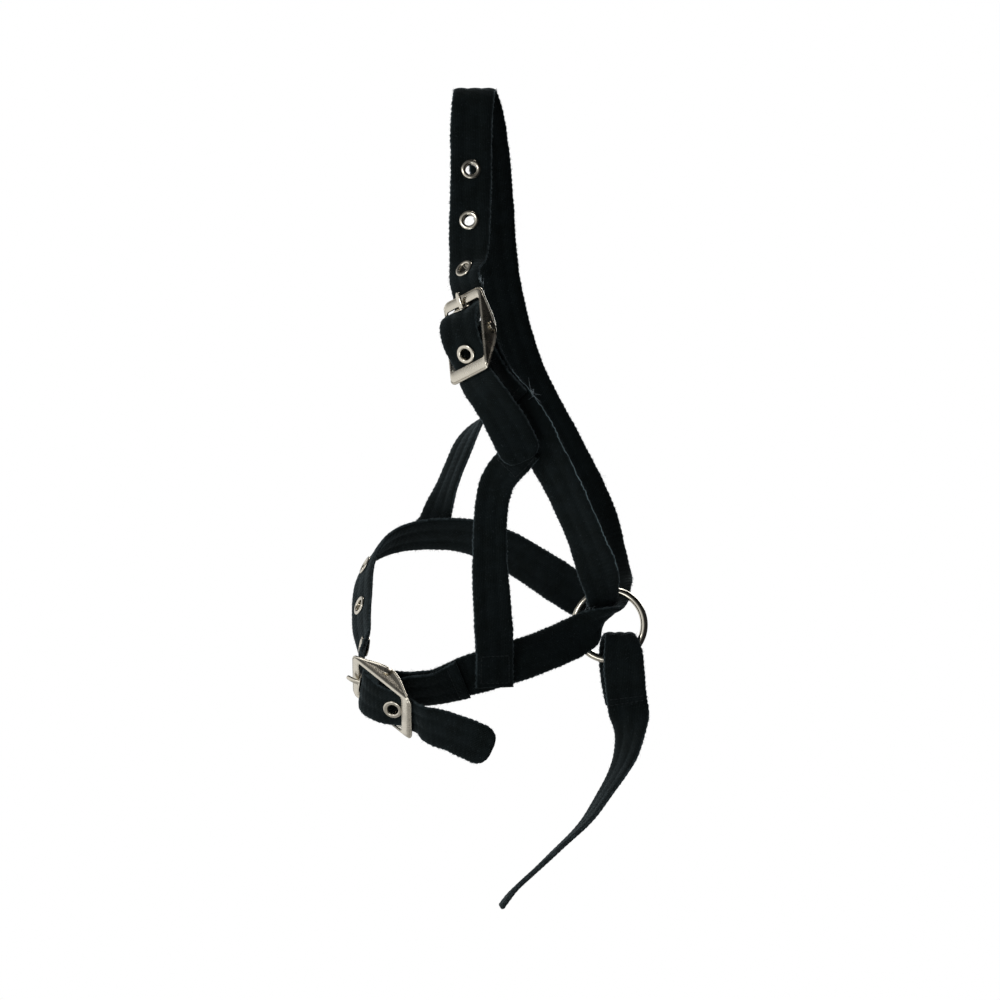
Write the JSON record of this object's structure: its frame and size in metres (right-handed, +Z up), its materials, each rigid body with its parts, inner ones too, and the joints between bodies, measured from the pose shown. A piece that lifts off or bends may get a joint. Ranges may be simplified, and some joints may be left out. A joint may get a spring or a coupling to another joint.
{
  "type": "head halter",
  "caption": "Soft webbing head halter for a large dog: neck loop and muzzle loop with tongue buckles, cheek straps, and a chin ring carrying a short lead strap.",
  "frame": {"origin": "middle of the neck loop's crown fold, on its underside, where it lies on the wearer's neck", "axes": "+Z up, the muzzle loop towards -X, the wearer's left side with both buckles towards -Y"},
  "size_m": [0.1442, 0.1124, 0.3911],
  "materials": {
    "webbing": "soft black woven webbing with three padded lanes",
    "nickel": "nickel plated steel, satin keeper and polished ring"
  },
  "bodies": {
    "halter": {"crown_nose_strap": "webbing", "neck_muzzle_strap": "webbing", "near_cheek_strap": "webbing", "far_cheek_strap": "webbing", "neck_buckle_frame": "nickel", "neck_buckle_bar": "nickel", "nose_buckle_frame": "nickel", "nose_buckle_bar": "nickel", "neck_eyelet_1": "nickel", "neck_eyelet_2": "nickel", "neck_eyelet_3": "nickel", "neck_eyelet_4": "nickel", "neck_eyelet_5": "nickel", "nose_eyelet_1": "nickel", "nose_eyelet_2": "nickel", "nose_eyelet_3": "nickel", "nose_eyelet_4": "nickel", "nose_eyelet_5": "nickel"},
    "neck_tongue": {"neck_buckle_tongue": "nickel"},
    "nose_tongue": {"nose_buckle_tongue": "nickel"},
    "ring": {"chin_ring": "nickel"},
    "lead": {"lead_strap": "webbing"}
  },
  "joints": [
    {"name": "neck_tongue_hinge", "type": "hinge", "parent": "halter", "child": "neck_tongue", "pos_m": [-0.0008, -0.042, -0.116], "axis": [0.7024, -0.6201, 0.3495], "range_deg": [-1, 2]},
    {"name": "nose_tongue_hinge", "type": "hinge", "parent": "halter", "child": "nose_tongue", "pos_m": [-0.0412, -0.036, -0.284], "axis": [-0.0069, -0.6577, 0.7533], "range_deg": [-1, 2]},
    {"name": "ring_turn", "type": "hinge", "parent": "halter", "child": "ring", "pos_m": [0.064, 0, -0.253], "axis": [0, 1, 0], "range_deg": [-40, 2]},
    {"name": "lead_swing", "type": "hinge", "parent": "ring", "child": "lead", "pos_m": [0.0685, 0, -0.2655], "axis": [1, 0, 0], "range_deg": [-30, 30]}
  ]
}
